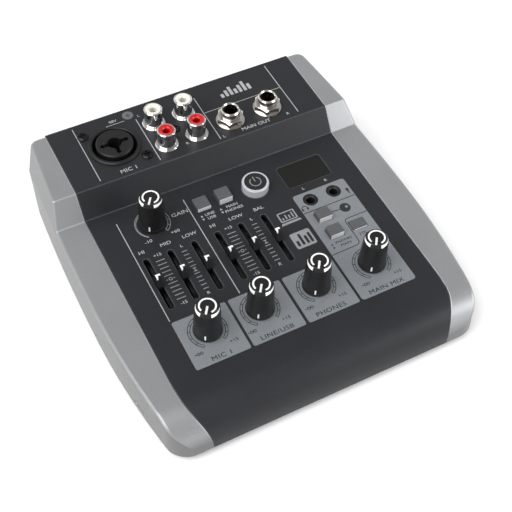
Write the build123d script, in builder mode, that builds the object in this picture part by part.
"""A small desktop mixing console: a dark moulded case with a sloping control panel, a raised
connector panel behind it, a rounded nose and silver side cheeks, with every control and socket.

Frame: +Z up, +Y to the back, +X to the right of the person who uses it. The origin is on the
table, in the middle of the footprint. Millimetres.
"""

import os
from math import cos, radians, sin

from build123d import *

# ---------------------------------------------------------------- driving dimensions

DEPTH = 156.6  # front wall to rear wall
COVER_WIDTH = 123.4  # dark cover between the cheeks
CHEEK_WIDEST = 76.2  # half width of the case where the cheeks are widest
WALL = 2.0  # cover wall
CHEEK_WALL = 2.4
FOOT_HEIGHT = 2.5  # rubber feet under the base pan
NOSE_RADIUS = 16.0

CONTROL_SLOPE = 5.0  # degrees, control panel falls to the front
CONNECTOR_SLOPE = 4.5  # degrees, connector panel
STEP_Y = 33.7  # foot of the step, where the control panel ends
STEP_Z = 30.5
STEP_RUN = 6.5  # the step face leans back
STEP_RISE = 11.3

KNOB_X = {"mic_level": -38.0, "line_level": -14.2, "phones_level": 12.3, "main_level": 39.4}
KNOB_V = -73.7  # along the control panel from the foot of the step, to the front
GAIN_X, GAIN_V = -35.7, -13.6
KNOB_HEIGHT = 17.8
KNOB_BASE_RADIUS = 6.15
KNOB_TOP_RADIUS = 5.15
KNOB_GAP = 0.4  # knob skirt above the panel
KNOB_TURN = 290.0  # degrees of travel; the pointers rest at the low end
POINTER_ANGLE = 270.0 - (360.0 - KNOB_TURN) / 2
POINTER_WIDTH = 1.0  # of the groove in the knob's top
POINTER_DEPTH = 0.25
SHAFT_RADIUS = 2.95
SHAFT_BORE = 3.0
SHAFT_ROUND = 2.6  # the shaft is round up to here above the panel, and has a flat from there
SHAFT_FLAT = 10.4  # length of the flat
POT_BUSHING = 3.5
POT_HOLE = 3.6  # in the panel

FADER_NAMES = ["mic_high", "mic_mid", "mic_low", "line_high", "line_low", "balance"]
FADER_X = -46.4
FADER_PITCH = 11.2
FADER_V = -43.9
SLOT_LENGTH = 28.0
SLOT_WIDTH = 2.7
LEVER_REACH = 3.1  # half of the lever's foot along the slot
LEVER_SHANK = 2.0  # half of its shank
LEVER_WIDTH = 2.1
LEVER_HEIGHT = 5.6

# name: (x, v, size in x, size in v, height of its top above the panel)
BUTTONS = {
    "line_usb": (-12.0, -13.3, 6.6, 6.8, 1.7),
    "monitor": (-1.5, -13.5, 6.6, 6.8, 2.9),
    "usb_phones": (33.3, -42.5, 6.6, 5.5, 2.6),
    "phones_main": (33.3, -52.6, 6.6, 5.8, 2.6),
    "two_track": (45.0, -53.0, 7.0, 5.2, 0.5),
}
BUTTON_GAP = 0.2
CAP_LENGTH = 6.4
POWER_X, POWER_V = 14.0, -14.6
POWER_RADIUS = 6.15
POWER_HEIGHT = 4.0

WINDOW_X, WINDOW_V = 38.4, -15.6
WINDOW_SIZE = (22.0, 13.0)
WINDOW_CORNER = 1.6
WINDOW_DEPTH = 1.2

MINI_X = {"headphone": 32.9, "headset": 44.7}  # 3.5 mm sockets
MINI_V = -31.8
MINI_BORE = 1.8
MINI_RADIUS = 3.3

COMBO_X, COMBO_V = -35.9, 18.8
COMBO_FLANGE = 11.85
COMBO_OPENING = 9.95
COMBO_TUBE = 11.0
COMBO_INSERT = 8.45
COMBO_DEPTH = 14.0
COMBO_FACE = 2.2  # the insert's face above the panel
COMBO_SCREWS = [(-10.9, 11.2), (10.9, -11.2)]
JACK_BORE = 3.25  # 6.35 mm plug

PHONO_X = [-14.5, 0.3]
PHONO_V = {"white": 24.1, "red": 9.65}
PHONO_RADIUS = 4.15
PHONO_BORE = 3.5
PHONO_HEIGHT = 9.3
PHONO_PIN_HOLE = 1.6
PHONO_FOOT = 5.3

OUTPUT_X = [17.7, 36.7]
OUTPUT_V = 10.7
BUSHING_RADIUS = 4.45
BUSHING_HEIGHT = 7.6
WASHER = (6.6, 0.8)  # radius, thickness
NUT = (5.6, 3.0)  # half of the width across flats, thickness

CONTROL_BOARD = 13.0  # board face below the control panel's outer face
CONNECTOR_BOARD = 27.0  # board face below the connector panel's outer face
BOARD = 1.6
BOARD_CORNER = 2.0
BOARD_HOLE = 1.5
SPACER_FLATS = 2.5  # half of the width across flats
SPACER_TAP = 1.3
SPACER_TAP_DEPTH = 7.0
BODY_TOP = 5.5  # top of the component bodies below the panel's outer face

INLET_X, USB_X, REAR_SOCKET_Z = 42.0, 20.0, 23.6
POST_RADIUS = 2.6
POST_PILOT = 1.3
SCREW_POSTS = [(-56.4, -36.0), (56.4, -36.0), (-56.4, 68.0), (56.4, 68.0)]
CHEEK_SCREWS = [-30.0, 46.0]  # y of the screws that hold each cheek
CHEEK_SCREW_Z = 14.0
CHEEK_WIDEST_Y = -10.0
CHEEK_REAR = (71.8, 86.0)  # x and y that the rear part of the outline curves in to
CHEEK_FRONT_X = 70.0  # where the outline would meet the front wall without its round corner
CHEEK_FRONT_CORNER = 10.0
CHEEK_REAR_CORNER = 4.0
CHEEK_LEAN = 13.0  # degrees, inwards above the foot of the step
CHEEK_EDGE = 1.4
BOTTOM_EDGE = 1.6  # rounding along the bottom of the front wall and the cheeks
RECESS_Y = [-50.0, -12.0, 30.0, 66.0]  # small oblong recesses low on each cheek's side
RECESS_Z = 7.5
RECESS_DEPTH = 1.0
FEET = [(-44.0, -56.0), (44.0, -56.0), (-44.0, 62.0), (44.0, 62.0)]

# ---------------------------------------------------------------- places

FRONT, REAR, BOTTOM = -DEPTH / 2, DEPTH / 2, FOOT_HEIGHT
PAN_TOP = BOTTOM + WALL
HALF_COVER = COVER_WIDTH / 2

tilt = radians(CONTROL_SLOPE)
control = Plane(origin=(0, STEP_Y, STEP_Z), x_dir=(1, 0, 0), z_dir=(0, -sin(tilt), cos(tilt)))
rise = radians(CONNECTOR_SLOPE)
connector = Plane(
    origin=(0, STEP_Y + STEP_RUN, STEP_Z + STEP_RISE),
    x_dir=(1, 0, 0),
    z_dir=(0, -sin(rise), cos(rise)),
)
# Seen from behind, so its x runs to the left of the user.
rear_wall = Plane(origin=(0, REAR, 0), x_dir=(-1, 0, 0), z_dir=(0, 1, 0))


def spot(plane, x, v, lift=0.0):
    """A plane parallel to the given one, centred on one of its points and lifted off it."""
    centre = plane.from_local_coords((x, v, lift))
    return Plane(origin=centre, x_dir=plane.x_dir, z_dir=plane.z_dir)


def turned(place, outline):
    """A solid of revolution from (radius, height) points about the place's normal."""
    section = Plane(origin=place.origin, x_dir=place.x_dir, z_dir=place.x_dir.cross(place.z_dir))
    with BuildPart() as piece:
        with BuildSketch(section):
            with BuildLine():
                Polyline(*outline, close=True)
            make_face()
        revolve(axis=Axis(place.origin, place.z_dir))
    return piece.part


def ring(place, outer, inner, low, high):
    """A plain tube about the place's normal, between two heights."""
    return turned(place, [(inner, low), (outer, low), (outer, high), (inner, high)])


def rod(place, radius, low, high):
    """A plain round bar about the place's normal, between two heights."""
    return turned(place, [(0, low), (radius, low), (radius, high), (0, high)])


def block(place, width, length, low, high, corner=0.0):
    """A straight block on the place, between two heights, with rounded corners if asked."""
    with BuildPart() as piece:
        with BuildSketch(place.offset(low)):
            if corner:
                RectangleRounded(width, length, corner)
            else:
                Rectangle(width, length)
        extrude(amount=high - low)
    return piece.part


def fader_x(index):
    """Where the fader with this index, from the left, stands across the panel."""
    return FADER_X + FADER_PITCH * index


knob_places = {name: spot(control, x, KNOB_V) for name, x in KNOB_X.items()}
knob_places["gain"] = spot(control, GAIN_X, GAIN_V)
fader_places = {
    name: spot(control, fader_x(index), FADER_V) for index, name in enumerate(FADER_NAMES)
}
button_places = {name: spot(control, data[0], data[1]) for name, data in BUTTONS.items()}
power_place = spot(control, POWER_X, POWER_V)
window_place = spot(control, WINDOW_X, WINDOW_V)
mini_places = {name: spot(control, x, MINI_V) for name, x in MINI_X.items()}
combo_place = spot(connector, COMBO_X, COMBO_V)
combo_screw_places = [spot(connector, COMBO_X + dx, COMBO_V + dv) for dx, dv in COMBO_SCREWS]
phono_places = {
    colour: [spot(connector, x, v) for x in PHONO_X] for colour, v in PHONO_V.items()
}
all_phono_places = phono_places["white"] + phono_places["red"]
phono_middle = spot(connector, sum(PHONO_X) / 2, sum(PHONO_V.values()) / 2)
output_places = [spot(connector, x, OUTPUT_V) for x in OUTPUT_X]
inlet_place = spot(rear_wall, -INLET_X, REAR_SOCKET_Z)
usb_place = spot(rear_wall, -USB_X, REAR_SOCKET_Z)


# ---------------------------------------------------------------- case


def side_profile(inset=0.0):
    """The case seen from its side: nose, control panel, step, connector panel, rear wall."""
    nose_z = STEP_Z + (FRONT - STEP_Y) * sin(tilt) / cos(tilt)
    rear_z = connector.origin.Z + (REAR - connector.origin.Y) * sin(rise) / cos(rise)
    with BuildSketch(Plane.YZ) as profile:
        with BuildLine():
            Polyline(
                (FRONT, BOTTOM),
                (FRONT, nose_z),
                (STEP_Y, STEP_Z),
                (connector.origin.Y, connector.origin.Z),
                (REAR, rear_z),
                (REAR, BOTTOM),
                close=True,
            )
        make_face()
        if inset:
            offset(amount=-inset, kind=Kind.INTERSECTION, mode=Mode.REPLACE)
        corners = profile.vertices().sort_by(Axis.X)  # the sketch's own x runs along +Y
        front_top = corners[:2].sort_by(Axis.Y)[-1]
        rear_top = corners[-2:].sort_by(Axis.Y)[-1]
        step = corners[2:4]
        fillet(front_top, NOSE_RADIUS - inset)
        if not inset:
            fillet(rear_top, 1.2)
            fillet(step, 0.7)
    return profile.sketch


def waist(side, inset=0.0):
    """What the nose loses at one side, where the cheek wraps round the front of the cover."""
    near = FRONT + 32 + inset
    with BuildPart() as piece:
        with BuildSketch(Plane.XZ.offset(-near)):
            with BuildLine():
                edge = Spline(
                    (side * (HALF_COVER - inset), 22.5 - inset),
                    (side * (57.4 - inset), 16.0 - inset),
                    (side * (54.7 - inset), BOTTOM - 1),
                )
                Polyline(
                    edge @ 1,
                    (side * (HALF_COVER + 1), BOTTOM - 1),
                    (side * (HALF_COVER + 1), 22.5 - inset),
                    edge @ 0,
                )
            make_face()
        extrude(amount=near - FRONT + 1)
    return piece.part


def core(half_width, inset):
    """The whole of the cover as one lump, drawn in by an inset on every side."""
    profile = side_profile(inset)
    waists = [waist(side, inset) for side in (-1, 1)]
    with BuildPart() as piece:
        extrude(profile, amount=half_width, both=True)
        add(waists, mode=Mode.SUBTRACT)
    return piece.part


cover_core = core(HALF_COVER, 0.0)
cover_cavity = core(HALF_COVER - WALL, WALL)


def screw_posts():
    """Posts under the panels that take the base screws, drilled from below."""
    with BuildPart() as piece:
        with BuildSketch(Plane.XY.offset(PAN_TOP)):
            with Locations(*SCREW_POSTS):
                Circle(POST_RADIUS)
        extrude(amount=50)
        add(cover_core, mode=Mode.INTERSECT)
        with BuildSketch(Plane.XY.offset(PAN_TOP)):
            with Locations(*SCREW_POSTS):
                Circle(POST_PILOT)
        extrude(amount=11, mode=Mode.SUBTRACT)
    return piece.part


def stadium_cut(place, length, width):
    """A cutter for a round-ended slot along v."""
    with BuildPart() as piece:
        with BuildSketch(place.offset(-WALL - 1)):
            SlotOverall(length, width, rotation=90)
        extrude(amount=WALL + 2)
    return piece.part


def panel_cutters():
    """Everything that the control and connector panels are pierced for."""
    down, up = -WALL - 1.0, 1.0
    cutters = [rod(place, POT_HOLE, down, up) for place in knob_places.values()]
    cutters += [stadium_cut(place, SLOT_LENGTH, SLOT_WIDTH) for place in fader_places.values()]
    for name, (_, _, width, length, _) in BUTTONS.items():
        gap = 2 * BUTTON_GAP
        cutters.append(block(button_places[name], width + gap, length + gap, down, up, 0.6))
    cutters.append(rod(power_place, POWER_RADIUS + 0.3, down, up))
    window_width, window_length = WINDOW_SIZE
    cutters.append(
        block(window_place, window_width, window_length, -WINDOW_DEPTH, up, WINDOW_CORNER)
    )
    cutters.append(block(window_place, window_width - 3, window_length - 3, down, up, 0.8))
    cutters += [rod(place, MINI_RADIUS + 0.05, down, up) for place in mini_places.values()]
    cutters.append(rod(combo_place, COMBO_TUBE + 0.1, down, up))
    cutters += [rod(place, 1.55, down, up) for place in combo_screw_places]
    cutters += [rod(place, PHONO_RADIUS + 0.3, down, up) for place in all_phono_places]
    cutters.append(rod(phono_middle, 1.5, down, up))
    cutters += [rod(place, BUSHING_RADIUS + 0.1, down, up) for place in output_places]
    cutters.append(rod(inlet_place, 4.1, down, up))
    cutters.append(block(usb_place, 12.3, 11.1, down, up))
    return cutters


def side_screw(side, y):
    """A place on the cover's side wall whose normal points out of the case."""
    return Plane(
        origin=(side * HALF_COVER, y, CHEEK_SCREW_Z), x_dir=(0, side, 0), z_dir=(side, 0, 0)
    )


side_places = {side: [side_screw(side, y) for y in CHEEK_SCREWS] for side in (-1, 1)}
every_side_place = side_places[-1] + side_places[1]

inner_waists = [waist(side, WALL) for side in (-1, 1)]
with BuildPart() as open_bottom:
    with BuildSketch(Plane.XY.offset(BOTTOM - 1)):
        Rectangle(2 * (HALF_COVER - WALL), DEPTH - 2 * WALL)
    extrude(amount=WALL + 2)
    add(inner_waists, mode=Mode.SUBTRACT)

posts = screw_posts()
cutters = panel_cutters()
side_holes = [rod(place, 1.4, -WALL - 1, 1) for place in every_side_place]

with BuildPart() as top_cover:
    add(cover_core)
    lowest_front = top_cover.edges().group_by(Axis.Z)[0].group_by(Axis.Y)[0]
    fillet(lowest_front, BOTTOM_EDGE)
    add(cover_cavity, mode=Mode.SUBTRACT)
    add(open_bottom.part, mode=Mode.SUBTRACT)
    add(posts)
    add(cutters, mode=Mode.SUBTRACT)
    add(side_holes, mode=Mode.SUBTRACT)


def cheek_outline(inset):
    """The right cheek seen from above: widest a little in front of the middle, with a large
    round front corner."""
    widest = (CHEEK_WIDEST - inset, CHEEK_WIDEST_Y)
    rear_end = (CHEEK_REAR[0] - inset, CHEEK_REAR[1])
    front_end = (CHEEK_FRONT_X - inset, FRONT + inset)
    with BuildSketch() as outline:
        with BuildLine():
            TangentArc(widest, rear_end, tangent=(0, 1))
            TangentArc(widest, front_end, tangent=(0, -1))
            Polyline(front_end, (45, FRONT + inset), (45, CHEEK_REAR[1]), rear_end)
        make_face()
        fillet(outline.vertices().group_by(Axis.Y)[0].sort_by(Axis.X)[-1], CHEEK_FRONT_CORNER - inset)
    return outline.sketch


def cheek_lump(inset=0.0):
    """The right cheek's outer form: upright up to the foot of the step, leaning in above it,
    and cut to the case's own side profile."""
    outline = cheek_outline(inset)
    profile = side_profile(inset)
    low = outline.moved(Location((0, 0, BOTTOM + inset)))
    high = outline.moved(Location((0, 0, STEP_Z - inset)))
    with BuildPart() as piece:
        extrude(low, amount=STEP_Z - BOTTOM - 2 * inset)
        extrude(high, amount=20, taper=CHEEK_LEAN)
        extrude(profile, amount=90, mode=Mode.INTERSECT)
    return piece.part


def side_recesses():
    """Cutters for the small oblong recesses low on the right cheek's side."""
    limit = cheek_lump(RECESS_DEPTH)
    with BuildPart() as piece:
        with BuildSketch(Plane.YZ.offset(HALF_COVER)):
            with Locations(*[(y, RECESS_Z) for y in RECESS_Y]):
                SlotOverall(7.0, 2.2)
        extrude(amount=20)
        add(limit, mode=Mode.SUBTRACT)
    return piece.part


def right_cheek_solid():
    """The right cheek: a hollow end piece with two screw bosses, flush with the cover."""
    lump, hollow = cheek_lump(), cheek_lump(CHEEK_WALL)
    recesses = side_recesses()
    bosses = [rod(place, 3.0, 0, 12) for place in side_places[1]]
    holes = [rod(place, 1.0, -1, 8) for place in side_places[1]]
    with BuildPart() as inner:
        add(hollow)
        add(bosses, mode=Mode.SUBTRACT)
    with BuildPart() as outer:
        add(lump)
        add(cover_core, mode=Mode.SUBTRACT)
        ends = outer.edges().filter_by(lambda e: abs(e.center().Y - REAR) < 0.3)
        upright = ends.filter_by(lambda e: abs(e.tangent_at(0.5).Z) > 0.9 and e.center().X > 64)
        fillet(upright, CHEEK_REAR_CORNER)
        rim = outer.edges().filter_by(on_rim)
        fillet(rim, CHEEK_EDGE)
        foot = outer.edges().filter_by(on_foot)
        fillet(foot, BOTTOM_EDGE)
    with BuildPart() as piece:
        add(outer.part)
        add(inner.part, mode=Mode.SUBTRACT)
        add(holes, mode=Mode.SUBTRACT)
        add(recesses, mode=Mode.SUBTRACT)
    return piece.part


def on_rim(edge):
    """True for the cheek's long upper edges, from the nose to the rear."""
    middle = edge.center()
    along = abs(edge.tangent_at(0.5).X) < 0.9
    lowest = edge.bounding_box().min.Z
    lean_line = abs(middle.Z - STEP_Z) < 0.3
    outside = middle.X > HALF_COVER + 2 and abs(middle.Y) < REAR - 0.5
    return outside and lowest > 6 and along and not lean_line


def on_foot(edge):
    """True for the bottom edges that the cheek shows from outside."""
    middle, box = edge.center(), edge.bounding_box()
    outside = middle.X > HALF_COVER + 3 or abs(middle.Y - FRONT) < 0.1
    return box.max.Z < BOTTOM + 0.01 and outside and middle.Y < REAR - 0.1


right_cheek = right_cheek_solid()
left_cheek = mirror(right_cheek, about=Plane.YZ)


# ---------------------------------------------------------------- base


def pan_plate():
    """The flat base pan: it fills the cover's open bottom and is countersunk for its screws."""
    waists = [waist(side, WALL + 0.15) for side in (-1, 1)]
    with BuildPart() as piece:
        with BuildSketch(Plane.XY.offset(BOTTOM)):
            Rectangle(2 * (HALF_COVER - WALL - 0.15), DEPTH - 2 * WALL - 0.3)
        extrude(amount=WALL - 0.1)
        add(waists, mode=Mode.SUBTRACT)
        with BuildSketch(Plane.XY.offset(BOTTOM)):
            with GridLocations(7.0, 24.0, 9, 2):
                SlotOverall(18.0, 2.4, rotation=90)
        extrude(amount=WALL, mode=Mode.SUBTRACT)
    sinks = [turned(Plane((x, y, BOTTOM)), screw_outline(0.1)) for x, y in SCREW_POSTS]
    with BuildPart() as drilled:
        add(piece.part)
        add(sinks, mode=Mode.SUBTRACT)
    return drilled.part


def screw_outline(gap=0.0):
    """Countersunk base screw, head down, as (radius, height) points."""
    length = WALL + 8.0
    return [
        (0, 0),
        (2.7 + gap, 0),
        (2.7 + gap, 0.4),
        (1.25 + gap / 2, 1.7),
        (1.25 + gap / 2, length),
        (0, length),
    ]


def driver_recess(place, radius):
    """A cross recess in a screw head whose face is at the place, cut against its normal."""
    with BuildPart() as piece:
        with BuildSketch(place):
            Rectangle(2 * radius, 0.55)
            Rectangle(0.55, 2 * radius)
        extrude(amount=-0.7)
    return piece.part


pan = pan_plate()
screw_bodies = [turned(Plane((x, y, BOTTOM)), screw_outline()) for x, y in SCREW_POSTS]
screw_slots = [
    driver_recess(Plane(origin=(x, y, BOTTOM), z_dir=(0, 0, -1)), 1.4) for x, y in SCREW_POSTS
]
with BuildPart() as base_screws:
    add(screw_bodies)
    add(screw_slots, mode=Mode.SUBTRACT)

foot_outline = [(0, 0), (5.2, 0), (6.0, 0.8), (6.0, BOTTOM), (0, BOTTOM)]
feet = [turned(Plane((x, y, 0)), foot_outline) for x, y in FEET]
with BuildPart() as rubber_feet:
    add(feet)

side_heads = [rod(place, 2.3, -WALL - 1.4, -WALL) for place in every_side_place]
side_shanks = [rod(place, 0.95, -WALL - 0.5, 7) for place in every_side_place]
with BuildPart() as cheek_screws:
    add(side_heads)
    add(side_shanks)


# ---------------------------------------------------------------- boards and spacers

control_spacers = [spot(control, x, v) for x in (-49.5, 49.5) for v in (-8.0, -66.0)]
connector_spacers = [spot(connector, x, v) for x in (-51.2, 51.2) for v in (4.5, 29.8)]


def spacer_post(place, depth):
    """A hexagonal brass spacer from the panel's inner face down to a board, tapped below."""
    with BuildPart() as piece:
        with BuildSketch(place.offset(-depth)):
            RegularPolygon(SPACER_FLATS, 6, major_radius=False)
            Circle(SPACER_TAP, mode=Mode.SUBTRACT)
        extrude(amount=SPACER_TAP_DEPTH)
        with BuildSketch(place.offset(-depth + SPACER_TAP_DEPTH)):
            RegularPolygon(SPACER_FLATS, 6, major_radius=False)
        extrude(amount=depth - WALL - SPACER_TAP_DEPTH)
    return piece.part


def board_screw(place, depth):
    """A pan-head screw through a board from below into its spacer."""
    face = depth + BOARD
    outline = [(0, -face - 1.6), (2.0, -face - 1.6), (2.4, -face - 0.8), (2.4, -face)]
    outline += [(1.25, -face), (1.25, -face + 6.5), (0, -face + 6.5)]
    return turned(place, outline)


spacer_parts = [spacer_post(place, CONTROL_BOARD) for place in control_spacers]
spacer_parts += [spacer_post(place, CONNECTOR_BOARD) for place in connector_spacers]
with BuildPart() as board_spacers:
    add(spacer_parts)

screw_parts = [board_screw(place, CONTROL_BOARD) for place in control_spacers]
screw_parts += [board_screw(place, CONNECTOR_BOARD) for place in connector_spacers]
with BuildPart() as board_screws:
    add(screw_parts)



def circuit_board(panel, middle, width, length, depth, spacers):
    """A bare board under a panel, drilled for its spacer screws."""
    plate = block(spot(panel, 0, middle), width, length, -depth - BOARD, -depth, BOARD_CORNER)
    holes = [rod(place, BOARD_HOLE, -depth - 2 * BOARD, 0) for place in spacers]
    with BuildPart() as piece:
        add(plate)
        add(holes, mode=Mode.SUBTRACT)
    return piece.part


main_board = circuit_board(control, -44.5, 105.0, 83.0, CONTROL_BOARD, control_spacers)
connector_board = circuit_board(connector, 16.4, 106.8, 31.6, CONNECTOR_BOARD, connector_spacers)


# ---------------------------------------------------------------- knobs and their controls


def knob_solid(place):
    """A tapered knob: bevelled crown, pointer groove, and a D bore under a hollow skirt."""
    top, base = KNOB_HEIGHT, KNOB_GAP
    outline = [
        (0, base + 3.0),
        (5.2, base + 3.0),
        (5.2, base),
        (KNOB_BASE_RADIUS - 0.15, base),
        (KNOB_BASE_RADIUS, base + 0.2),
        (KNOB_BASE_RADIUS, base + 1.2),
        (KNOB_BASE_RADIUS - 0.2, base + 1.6),
        (KNOB_TOP_RADIUS, top - 1.5),
        (KNOB_TOP_RADIUS - 0.75, top - 0.25),
        (KNOB_TOP_RADIUS - 1.0, top),
        (0, top),
    ]
    body = turned(place, outline)
    pointer = radians(POINTER_ANGLE)
    reach = KNOB_TOP_RADIUS / 2 + 0.2
    groove = Location((reach * cos(pointer), reach * sin(pointer), 0), (0, 0, POINTER_ANGLE))
    with BuildPart() as piece:
        add(body)
        with BuildSketch(place.offset(base)):
            Circle(SHAFT_BORE)
            with Locations((0, SHAFT_BORE + 1.55)):
                Rectangle(2 * SHAFT_BORE, 2 * SHAFT_BORE, mode=Mode.SUBTRACT)
        extrude(amount=13.0, mode=Mode.SUBTRACT)
        with BuildSketch(place.offset(top - POINTER_DEPTH)):
            with Locations(groove):
                Rectangle(KNOB_TOP_RADIUS + 0.4, POINTER_WIDTH)
        extrude(amount=1, mode=Mode.SUBTRACT)
    return piece.part


def shaft_solid(place):
    """The control's shaft, with a flat for the knob, running down into its body."""
    with BuildPart() as piece:
        with BuildSketch(place.offset(-BODY_TOP - 3)):
            Circle(SHAFT_RADIUS)
        extrude(amount=BODY_TOP + 3 + SHAFT_ROUND)
        with BuildSketch(place.offset(SHAFT_ROUND)):
            Circle(SHAFT_RADIUS)
            with Locations((0, SHAFT_RADIUS + 1.5)):
                Rectangle(2 * SHAFT_RADIUS, 2 * SHAFT_RADIUS, mode=Mode.SUBTRACT)
        extrude(amount=SHAFT_FLAT)
    return piece.part


def pot_body(place):
    """A rotary control: square body on two bracket legs, with a bushing through the panel."""
    base = block(place, 9.8, 10.6, -CONTROL_BOARD + 2.5, -BODY_TOP, 0.5)
    legs = [
        block(spot(place, side * 4.4, 0), 0.8, 8.0, -CONTROL_BOARD, -BODY_TOP - 1) for side in (-1, 1)
    ]
    bushing = rod(place, POT_BUSHING, -BODY_TOP - 1, 2.1)
    bore = rod(place, SHAFT_BORE, -BODY_TOP - 3.5, 3)
    with BuildPart() as piece:
        add(base)
        add(legs)
        add(bushing)
        add(bore, mode=Mode.SUBTRACT)
    return piece.part


def pot_nut(place):
    """The thin nut that holds a rotary control's bushing on the panel."""
    with BuildPart() as piece:
        with BuildSketch(place):
            RegularPolygon(4.2, 6, major_radius=False)
            Circle(POT_BUSHING + 0.05, mode=Mode.SUBTRACT)
        extrude(amount=1.4)
    return piece.part


knobs = {name: knob_solid(place) for name, place in knob_places.items()}
shafts = {name: shaft_solid(place) for name, place in knob_places.items()}
pot_parts = [pot_body(place) for place in knob_places.values()]
nut_parts = [pot_nut(place) for place in knob_places.values()]
with BuildPart() as pot_bodies:
    add(pot_parts)
with BuildPart() as pot_nuts:
    add(nut_parts)


# ---------------------------------------------------------------- faders


def lever_solid(place):
    """A fader lever: a thin wedge above its slot, a shank through it and a tang below."""
    with BuildPart() as piece:
        with BuildSketch(Plane(origin=place.origin, x_dir=place.y_dir, z_dir=place.x_dir)):
            with BuildLine():
                Polyline(
                    (-LEVER_SHANK, -4.6),
                    (LEVER_SHANK, -4.6),
                    (LEVER_SHANK, 0.4),
                    (LEVER_REACH, 0.4),
                    (LEVER_REACH, 1.2),
                    (0.9, LEVER_HEIGHT),
                    (-0.9, LEVER_HEIGHT),
                    (-LEVER_REACH, 1.2),
                    (-LEVER_REACH, 0.4),
                    (-LEVER_SHANK, 0.4),
                    close=True,
                )
            make_face()
        extrude(amount=LEVER_WIDTH / 2, both=True)
        with BuildSketch(place.offset(-8.0)):
            Rectangle(1.2, 3.6)
        extrude(amount=3.6)
    return piece.part


def fader_body(place):
    """A slide control: a long metal box on the board with a slot along its top."""
    low, high = -CONTROL_BOARD, -BODY_TOP
    shell = block(place, 7.4, 37.0, low, high, 0.5)
    slot = block(place, 1.8, 26.0, -9.0, high + 1)
    with BuildPart() as piece:
        add(shell)
        add(slot, mode=Mode.SUBTRACT)
    return piece.part


levers = {name: lever_solid(place) for name, place in fader_places.items()}
fader_parts = [fader_body(place) for place in fader_places.values()]
with BuildPart() as fader_bodies:
    add(fader_parts)


# ---------------------------------------------------------------- buttons


def button_cap(name):
    """A square key cap with a soft top edge and a stem for its switch."""
    _, _, width, length, height = BUTTONS[name]
    place = button_places[name]
    cap = block(place, width, length, height - CAP_LENGTH, height, 0.5)
    with BuildPart() as piece:
        add(cap)
        rim = piece.edges().group_by(Axis(place.origin, place.z_dir))[-1]
        fillet(rim, 0.35)
        with BuildSketch(place.offset(height - CAP_LENGTH - 4.6)):
            Rectangle(3.0, 3.0)
        extrude(amount=4.8)
    return piece.part


def switch_body(place):
    """A push switch on the board, with a square well for the stem."""
    shell = block(place, 7.0, 7.0, -CONTROL_BOARD, -6.6, 0.4)
    well = block(place, 3.5, 3.5, -11.5, -6)
    with BuildPart() as piece:
        add(shell)
        add(well, mode=Mode.SUBTRACT)
    return piece.part


def power_ring():
    """The power button's silver cup, with a flat-bottomed recess for its black disc."""
    outline = [
        (0, -4.2),
        (POWER_RADIUS, -4.2),
        (POWER_RADIUS, POWER_HEIGHT - 0.5),
        (POWER_RADIUS - 0.45, POWER_HEIGHT),
        (5.1, POWER_HEIGHT),
        (5.1, POWER_HEIGHT - 0.8),
        (0, POWER_HEIGHT - 0.8),
    ]
    cup = turned(power_place, outline)
    with BuildPart() as piece:
        add(cup)
        with BuildSketch(power_place.offset(-8.6)):
            Rectangle(3.0, 3.0)
        extrude(amount=4.6)
    return piece.part


caps = {name: button_cap(name) for name in BUTTONS}
power_button = power_ring()
power_disc = rod(power_place, 5.05, POWER_HEIGHT - 0.8, POWER_HEIGHT - 0.1)
switch_parts = [switch_body(place) for place in button_places.values()]
switch_parts.append(switch_body(power_place))
with BuildPart() as switch_bodies:
    add(switch_parts)


# ---------------------------------------------------------------- level meter

window_width, window_length = WINDOW_SIZE
meter_window = block(
    window_place, window_width - 0.2, window_length - 0.2, -WINDOW_DEPTH, -0.05, WINDOW_CORNER - 0.1
)
lamp_places = [
    spot(control, WINDOW_X + 3.2 * column, WINDOW_V + 2.2 * row)
    for column in (-2, -1, 0, 1, 2)
    for row in (-1, 1)
]
lamp_parts = [block(place, 2.0, 1.6, -5.0, -2.4) for place in lamp_places]
pocket_parts = [block(place, 2.2, 1.8, -5.0, -2.0) for place in lamp_places]
carrier_block = block(window_place, 18.4, 9.4, -CONTROL_BOARD, -2.3, 0.4)
with BuildPart() as meter_lamps:
    add(lamp_parts)
with BuildPart() as meter_carrier:
    add(carrier_block)
    add(pocket_parts, mode=Mode.SUBTRACT)


# ---------------------------------------------------------------- 3.5 mm sockets


def mini_socket(place):
    """A 3.5 mm socket: round nose in the panel, square body on the board, one straight bore."""
    nose = turned(
        place,
        [(0, -3.0), (MINI_RADIUS, -3.0), (MINI_RADIUS, -0.3), (MINI_RADIUS - 0.3, 0), (0, 0)],
    )
    body = block(place, 9.0, 9.0, -CONTROL_BOARD, -2.6, 0.5)
    bore = turned(
        place,
        [(0, -12), (MINI_BORE, -12), (MINI_BORE, -0.5), (MINI_BORE + 0.6, 0.1), (0, 0.1)],
    )
    with BuildPart() as piece:
        add(nose)
        add(body)
        add(bore, mode=Mode.SUBTRACT)
    return piece.part


mini_sockets = {name: mini_socket(place) for name, place in mini_places.items()}


# ---------------------------------------------------------------- combination microphone socket


def combo_bezel_solid():
    """The socket's flange and tube: the plug's shell slides into the ring-shaped gap."""
    outline = [
        (COMBO_OPENING, 0.7),
        (COMBO_OPENING + 0.4, 1.1),
        (COMBO_FLANGE - 0.6, 1.1),
        (COMBO_FLANGE, 0.6),
        (COMBO_FLANGE, 0),
        (COMBO_TUBE, 0),
        (COMBO_TUBE, -COMBO_DEPTH),
        (COMBO_OPENING, -COMBO_DEPTH),
    ]
    return turned(combo_place, outline)


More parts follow.
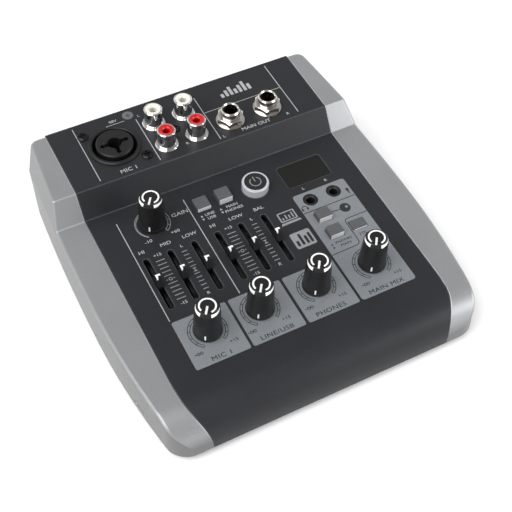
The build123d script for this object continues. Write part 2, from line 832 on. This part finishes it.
def combo_insert_solid():
    """The contact insert: a centre hole for a jack plug that opens into three lobes, and
    three pin holes at their ends."""
    body = turned(
        combo_place,
        [
            (0, -COMBO_DEPTH),
            (COMBO_INSERT, -COMBO_DEPTH),
            (COMBO_INSERT, COMBO_FACE - 0.5),
            (COMBO_INSERT - 0.5, COMBO_FACE),
            (0, COMBO_FACE),
        ],
    )
    with BuildPart() as piece:
        add(body)
        with BuildSketch(combo_place.offset(-COMBO_DEPTH)):
            Circle(JACK_BORE)
            with PolarLocations(3.4, 3, start_angle=180, angular_range=270):
                RectangleRounded(2.4, 2.2, 0.6)
            with PolarLocations(5.6, 3, start_angle=180, angular_range=270):
                Circle(1.15)
        extrude(amount=COMBO_DEPTH + COMBO_FACE + 1, mode=Mode.SUBTRACT)
    return piece.part


def combo_body_solid():
    """The socket's rear housing, down to the board, with the jack bore running on in it."""
    place = combo_place
    lump = block(place, 24.0, 25.0, -CONNECTOR_BOARD, -COMBO_DEPTH, 2.0)
    bore = rod(place, JACK_BORE, -CONNECTOR_BOARD + 1.5, -COMBO_DEPTH + 1)
    with BuildPart() as piece:
        add(lump)
        add(bore, mode=Mode.SUBTRACT)
    return piece.part


def panel_screw(place, head, shank, length):
    """A small domed screw standing on a panel."""
    return turned(
        place,
        [
            (0, -length),
            (shank, -length),
            (shank, 0),
            (head, 0),
            (head, 0.5),
            (head - 0.7, 1.1),
            (0, 1.2),
        ],
    )


combo_bezel = combo_bezel_solid()
combo_insert = combo_insert_solid()
combo_body = combo_body_solid()
combo_screw_bodies = [panel_screw(place, 2.6, 1.4, 8.0) for place in combo_screw_places]
combo_slots = [driver_recess(place.offset(1.3), 1.5) for place in combo_screw_places]
with BuildPart() as combo_screws:
    add(combo_screw_bodies)
    add(combo_slots, mode=Mode.SUBTRACT)


# ---------------------------------------------------------------- phono sockets


def phono_barrel(place):
    """A chromed phono shell: a flanged foot on the panel and a rolled mouth."""
    outline = [
        (PHONO_BORE, -3.0),
        (PHONO_RADIUS, -3.0),
        (PHONO_RADIUS, 0),
        (PHONO_FOOT, 0),
        (PHONO_FOOT, 0.7),
        (PHONO_FOOT - 0.4, 1.1),
        (PHONO_RADIUS, 1.1),
        (PHONO_RADIUS, PHONO_HEIGHT - 0.3),
        (PHONO_RADIUS - 0.3, PHONO_HEIGHT),
        (PHONO_BORE, PHONO_HEIGHT),
    ]
    return turned(place, outline)


def phono_insulator(place):
    """The coloured insulator in the shell, dished round its centre contact hole."""
    outline = [
        (PHONO_PIN_HOLE, -3.0),
        (PHONO_BORE, -3.0),
        (PHONO_BORE, PHONO_HEIGHT),
        (PHONO_BORE - 0.3, PHONO_HEIGHT + 0.15),
        (PHONO_PIN_HOLE + 0.5, PHONO_HEIGHT - 0.15),
        (PHONO_PIN_HOLE, PHONO_HEIGHT - 0.7),
    ]
    return turned(place, outline)


def phono_block_solid():
    """The moulded block under the four shells, on four legs down to the board."""
    body = block(phono_middle, 27.0, 26.0, -11.0, -3.0, 1.0)
    legs = [
        block(spot(phono_middle, dx * 11.5, dv * 11.0), 3.0, 3.0, -CONNECTOR_BOARD, -10.0)
        for dx in (-1, 1)
        for dv in (-1, 1)
    ]
    neck = block(phono_middle, 7.0, 7.0, -4.0, -WALL, 0.5)
    wells = [rod(place, PHONO_PIN_HOLE, -9.0, -2.0) for place in all_phono_places]
    screw_hole = rod(phono_middle, 1.3, -9.0, 0)
    with BuildPart() as piece:
        add(body)
        add(legs)
        add(neck)
        add(wells, mode=Mode.SUBTRACT)
        add(screw_hole, mode=Mode.SUBTRACT)
    return piece.part


barrel_parts = [phono_barrel(place) for place in all_phono_places]
white_parts = [phono_insulator(place) for place in phono_places["white"]]
red_parts = [phono_insulator(place) for place in phono_places["red"]]
phono_block = phono_block_solid()
phono_screw_body = panel_screw(phono_middle, 2.3, 1.25, 7.5)
phono_slot = driver_recess(phono_middle.offset(1.3), 1.3)
with BuildPart() as phono_shells:
    add(barrel_parts)
with BuildPart() as white_insulators:
    add(white_parts)
with BuildPart() as red_insulators:
    add(red_parts)
with BuildPart() as phono_screw:
    add(phono_screw_body)
    add(phono_slot, mode=Mode.SUBTRACT)


# ---------------------------------------------------------------- output jacks


def output_bushing(place):
    """A threaded metal bushing with a rounded mouth, bored for a 6.35 mm plug."""
    bore, top = JACK_BORE, BUSHING_HEIGHT
    outline = [
        (bore, -WALL),
        (BUSHING_RADIUS, -WALL),
        (BUSHING_RADIUS, top - 0.6),
        (BUSHING_RADIUS - 0.5, top),
        (bore + 0.4, top),
        (bore, top - 0.5),
    ]
    return turned(place, outline)


def output_nut(place):
    """A hexagonal nut on its washer, chamfered where it faces up."""
    radius, washer = WASHER
    flats, height = NUT
    cone = turned(
        place,
        [
            (0, washer),
            (flats * 1.16, washer),
            (flats * 1.16, washer + height - 0.7),
            (flats * 0.98, washer + height),
            (0, washer + height),
        ],
    )
    with BuildPart() as piece:
        with BuildSketch(place.offset(washer)):
            RegularPolygon(flats, 6, major_radius=False)
            Circle(BUSHING_RADIUS + 0.05, mode=Mode.SUBTRACT)
        extrude(amount=height)
        add(cone, mode=Mode.INTERSECT)
    return piece.part


def output_body(place):
    """The output jack's plastic housing, from the panel down to the board."""
    shell = block(place, 15.0, 16.0, -CONNECTOR_BOARD, -WALL, 1.0)
    bore = rod(place, JACK_BORE, -CONNECTOR_BOARD + 1.5, 1)
    with BuildPart() as piece:
        add(shell)
        add(bore, mode=Mode.SUBTRACT)
    return piece.part


bushing_parts = [output_bushing(place) for place in output_places]
output_nut_parts = [output_nut(place) for place in output_places]
washer_parts = [
    ring(place, WASHER[0], BUSHING_RADIUS + 0.1, 0, WASHER[1]) for place in output_places
]
body_parts = [output_body(place) for place in output_places]
with BuildPart() as output_bushings:
    add(bushing_parts)
with BuildPart() as output_nuts:
    add(output_nut_parts)
with BuildPart() as output_washers:
    add(washer_parts)
with BuildPart() as output_bodies:
    add(body_parts)


# ---------------------------------------------------------------- rear wall sockets


def inlet_solid():
    """The power inlet: a round nose in the rear wall, a centre pin in its bore."""
    nose = rod(inlet_place, 4.0, -WALL - 1, 0.2)
    body = block(inlet_place, 9.0, 10.0, -13.0, -WALL)
    bore = rod(inlet_place, 2.75, -9.5, 1)
    pin = rod(inlet_place, 1.0, -10.0, -1.0)
    with BuildPart() as piece:
        add(nose)
        add(body)
        add(bore, mode=Mode.SUBTRACT)
        add(pin)
    return piece.part


def usb_solid():
    """The square data socket: a metal shell with bevelled upper corners and a tongue."""
    with BuildPart() as piece:
        with BuildSketch(usb_place.offset(-14.0)):
            Rectangle(12.0, 10.8)
        extrude(amount=14.2)
        with BuildSketch(usb_place.offset(-9.0)) as mouth:
            Rectangle(8.5, 7.8)
            chamfer(mouth.vertices().group_by(Axis.Y)[-1], 1.6)
            Rectangle(5.6, 3.2, mode=Mode.SUBTRACT)
        extrude(amount=10.0, mode=Mode.SUBTRACT)
    return piece.part


power_inlet = inlet_solid()
usb_socket = usb_solid()


# ---------------------------------------------------------------- files

os.makedirs("parts", exist_ok=True)
finished = {
    "top_cover": top_cover.part,
    "left_cheek": left_cheek,
    "right_cheek": right_cheek,
    "base_pan": pan,
    "base_screws": base_screws.part,
    "rubber_feet": rubber_feet.part,
    "cheek_screws": cheek_screws.part,
    "board_spacers": board_spacers.part,
    "board_screws": board_screws.part,
    "main_board": main_board,
    "connector_board": connector_board,
    "pot_bodies": pot_bodies.part,
    "pot_nuts": pot_nuts.part,
    "fader_bodies": fader_bodies.part,
    "switch_bodies": switch_bodies.part,
    "power_button": power_button,
    "power_disc": power_disc,
    "meter_window": meter_window,
    "meter_lamps": meter_lamps.part,
    "meter_carrier": meter_carrier.part,
    "combo_bezel": combo_bezel,
    "combo_insert": combo_insert,
    "combo_body": combo_body,
    "combo_screws": combo_screws.part,
    "phono_block": phono_block,
    "phono_shells": phono_shells.part,
    "white_insulators": white_insulators.part,
    "red_insulators": red_insulators.part,
    "phono_screw": phono_screw.part,
    "output_bushings": output_bushings.part,
    "output_nuts": output_nuts.part,
    "output_washers": output_washers.part,
    "output_bodies": output_bodies.part,
    "power_inlet": power_inlet,
    "usb_socket": usb_socket,
}
finished.update({f"{name}_knob": piece for name, piece in knobs.items()})
finished.update({f"{name}_shaft": piece for name, piece in shafts.items()})
finished.update({f"{name}_fader": piece for name, piece in levers.items()})
finished.update({f"{name}_button": piece for name, piece in caps.items()})
finished.update({f"{name}_socket": piece for name, piece in mini_sockets.items()})

for name, piece in finished.items():
    piece.label = name
    export_step(piece, f"parts/{name}.step")
